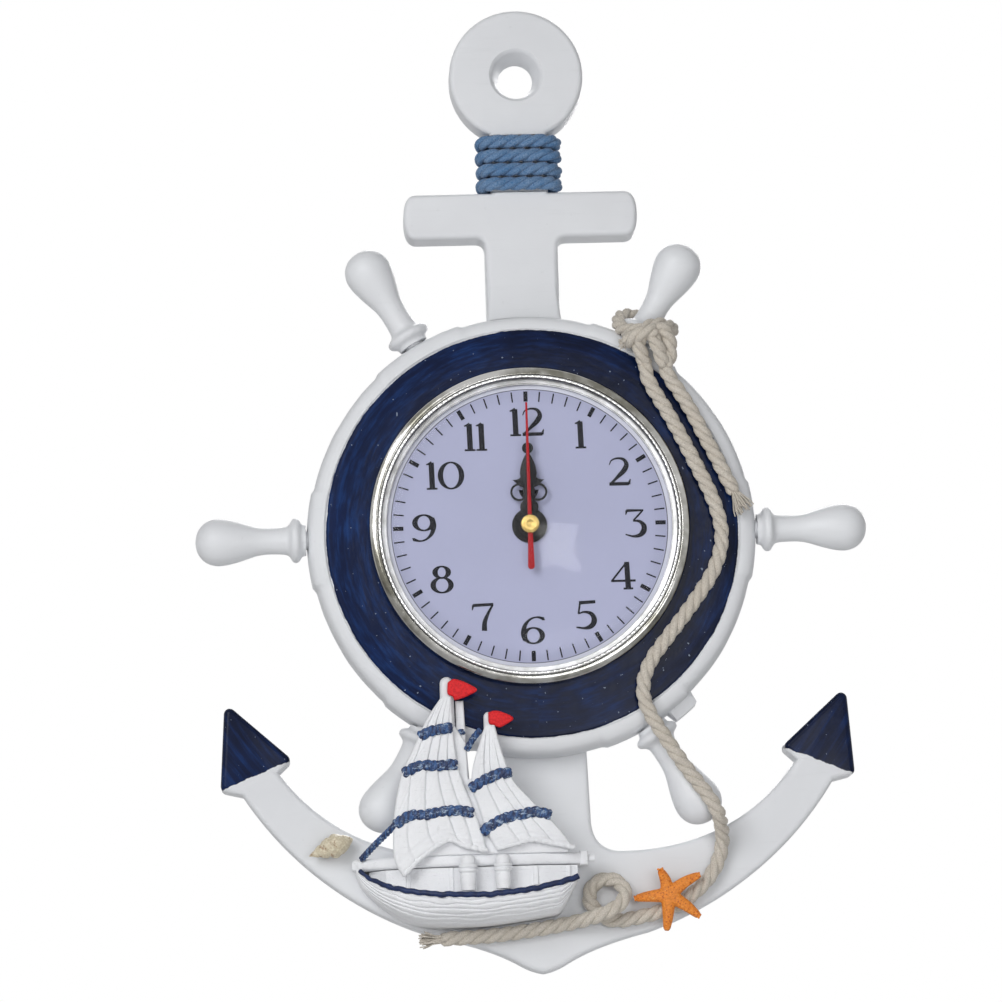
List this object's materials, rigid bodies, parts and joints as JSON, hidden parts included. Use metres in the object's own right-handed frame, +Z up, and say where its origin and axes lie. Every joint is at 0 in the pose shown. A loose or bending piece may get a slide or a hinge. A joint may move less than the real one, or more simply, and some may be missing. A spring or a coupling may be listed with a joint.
{
  "type": "ship wheel wall clock",
  "caption": "Wall clock shaped as an anchor with a ship's wheel around a quartz clock insert, decorated with a model boat, ropes, a starfish and a shell.",
  "frame": {"origin": "centre of the hanging eye's hole, on the wall plane", "axes": "+Z up, the clock's front faces -Y, +Y points into the wall, and +X is to the viewer's right"},
  "size_m": [0.2292, 0.0363, 0.3351],
  "materials": {
    "white_resin": "painted resin with a navy band, satin",
    "boat_white": "painted resin, matte, a little worn",
    "orange_paint": "painted resin, grainy",
    "shell": "natural shell",
    "blue_cord": "laid cord",
    "rope": "laid cotton rope",
    "red_paint": "satin",
    "black_paint": "satin",
    "bright_metal": "plated, polished",
    "clear": "clear, polished",
    "dial_face": "printed, pale lavender with black numerals",
    "brass": "polished",
    "steel": "plated sheet",
    "copper_wire": "enamelled winding",
    "white_plastic": "moulded",
    "black_plastic": "moulded",
    "battery_wrap": null,
    "green_board": "lacquered board",
    "black_rubber": "moulded"
  },
  "bodies": {
    "clock": {"anchor_casting": "white_resin", "wheel_casting": "white_resin", "handle_1": "white_resin", "handle_2": "white_resin", "handle_3": "white_resin", "handle_4": "white_resin", "handle_5": "white_resin", "handle_6": "white_resin", "starfish": "orange_paint", "shell": "shell", "neck_cord": "blue_cord", "rope_collar": "rope", "rope_knot": "rope", "rope_long": "rope", "rope_short": "rope", "boat_hull": "boat_white", "boat_deck": "boat_white", "boat_rail": "boat_white", "left_mast": "boat_white", "right_mast": "boat_white", "left_sail": "boat_white", "right_sail": "boat_white", "stay_sail": "boat_white", "left_pennant": "red_paint", "right_pennant": "red_paint", "boat_post_1": "boat_white", "boat_post_2": "boat_white", "bezel": "bright_metal", "lens": "clear", "dial": "dial_face", "insert_pan": "white_plastic", "grip_band": "black_rubber", "bush_washer": "black_rubber", "bush_nut": "brass", "movement_case": "black_plastic", "movement_cover": "black_plastic", "stator": "steel", "coil": "copper_wire", "circuit_board": "green_board", "crystal": "steel", "positive_contact": "steel", "negative_contact": "steel"},
    "minute_arbor": {"minute_hand": "black_paint", "centre_wheel": "white_plastic"},
    "hour_arbor": {"hour_hand": "black_paint", "hour_wheel": "white_plastic"},
    "second_arbor": {"second_hand": "red_paint", "hand_cap": "brass", "second_wheel": "white_plastic"},
    "motion_arbor": {"minute_wheel": "white_plastic"},
    "third_arbor": {"third_wheel": "white_plastic"},
    "middle_arbor": {"middle_wheel": "white_plastic"},
    "rotor_arbor": {"rotor": "steel"},
    "knob": {"set_knob": "black_plastic"},
    "cell": {"battery": "battery_wrap"}
  },
  "joints": [
    {"name": "minute_turn", "type": "hinge", "parent": "clock", "child": "minute_arbor", "pos_m": [-0.001, 0, -0.1612], "axis": [0, 1, 0], "continuous": true},
    {"name": "hour_turn", "type": "hinge", "parent": "clock", "child": "hour_arbor", "pos_m": [-0.001, 0, -0.1612], "axis": [0, 1, 0], "continuous": true},
    {"name": "second_turn", "type": "hinge", "parent": "clock", "child": "second_arbor", "pos_m": [-0.001, 0, -0.1612], "axis": [0, 1, 0], "continuous": true},
    {"name": "motion_turn", "type": "hinge", "parent": "clock", "child": "motion_arbor", "pos_m": [0.00605, 0, -0.15863], "axis": [0, 1, 0], "continuous": true},
    {"name": "third_turn", "type": "hinge", "parent": "clock", "child": "third_arbor", "pos_m": [-0.00879, 0, -0.1567], "axis": [0, 1, 0], "continuous": true},
    {"name": "middle_turn", "type": "hinge", "parent": "clock", "child": "middle_arbor", "pos_m": [0.00211, 0, -0.15265], "axis": [0, 1, 0], "continuous": true},
    {"name": "rotor_turn", "type": "hinge", "parent": "clock", "child": "rotor_arbor", "pos_m": [-0.00425, 0, -0.14628], "axis": [0, 1, 0], "continuous": true},
    {"name": "knob_turn", "type": "hinge", "parent": "clock", "child": "knob", "pos_m": [0.01179, 0, -0.15381], "axis": [0, 1, 0], "continuous": true},
    {"name": "battery_slide", "type": "slide", "parent": "clock", "child": "cell", "axis": [0, 1, 0], "range_m": [0, 0.02]}
  ],
  "couplings": [
    {"joint": "hour_turn", "follows": "minute_turn", "ratio": 0.083333},
    {"joint": "second_turn", "follows": "minute_turn", "ratio": 60},
    {"joint": "motion_turn", "follows": "minute_turn", "ratio": -0.33333},
    {"joint": "third_turn", "follows": "minute_turn", "ratio": -8},
    {"joint": "middle_turn", "follows": "minute_turn", "ratio": -360},
    {"joint": "rotor_turn", "follows": "minute_turn", "ratio": 1800},
    {"joint": "knob_turn", "follows": "minute_turn", "ratio": 1}
  ]
}
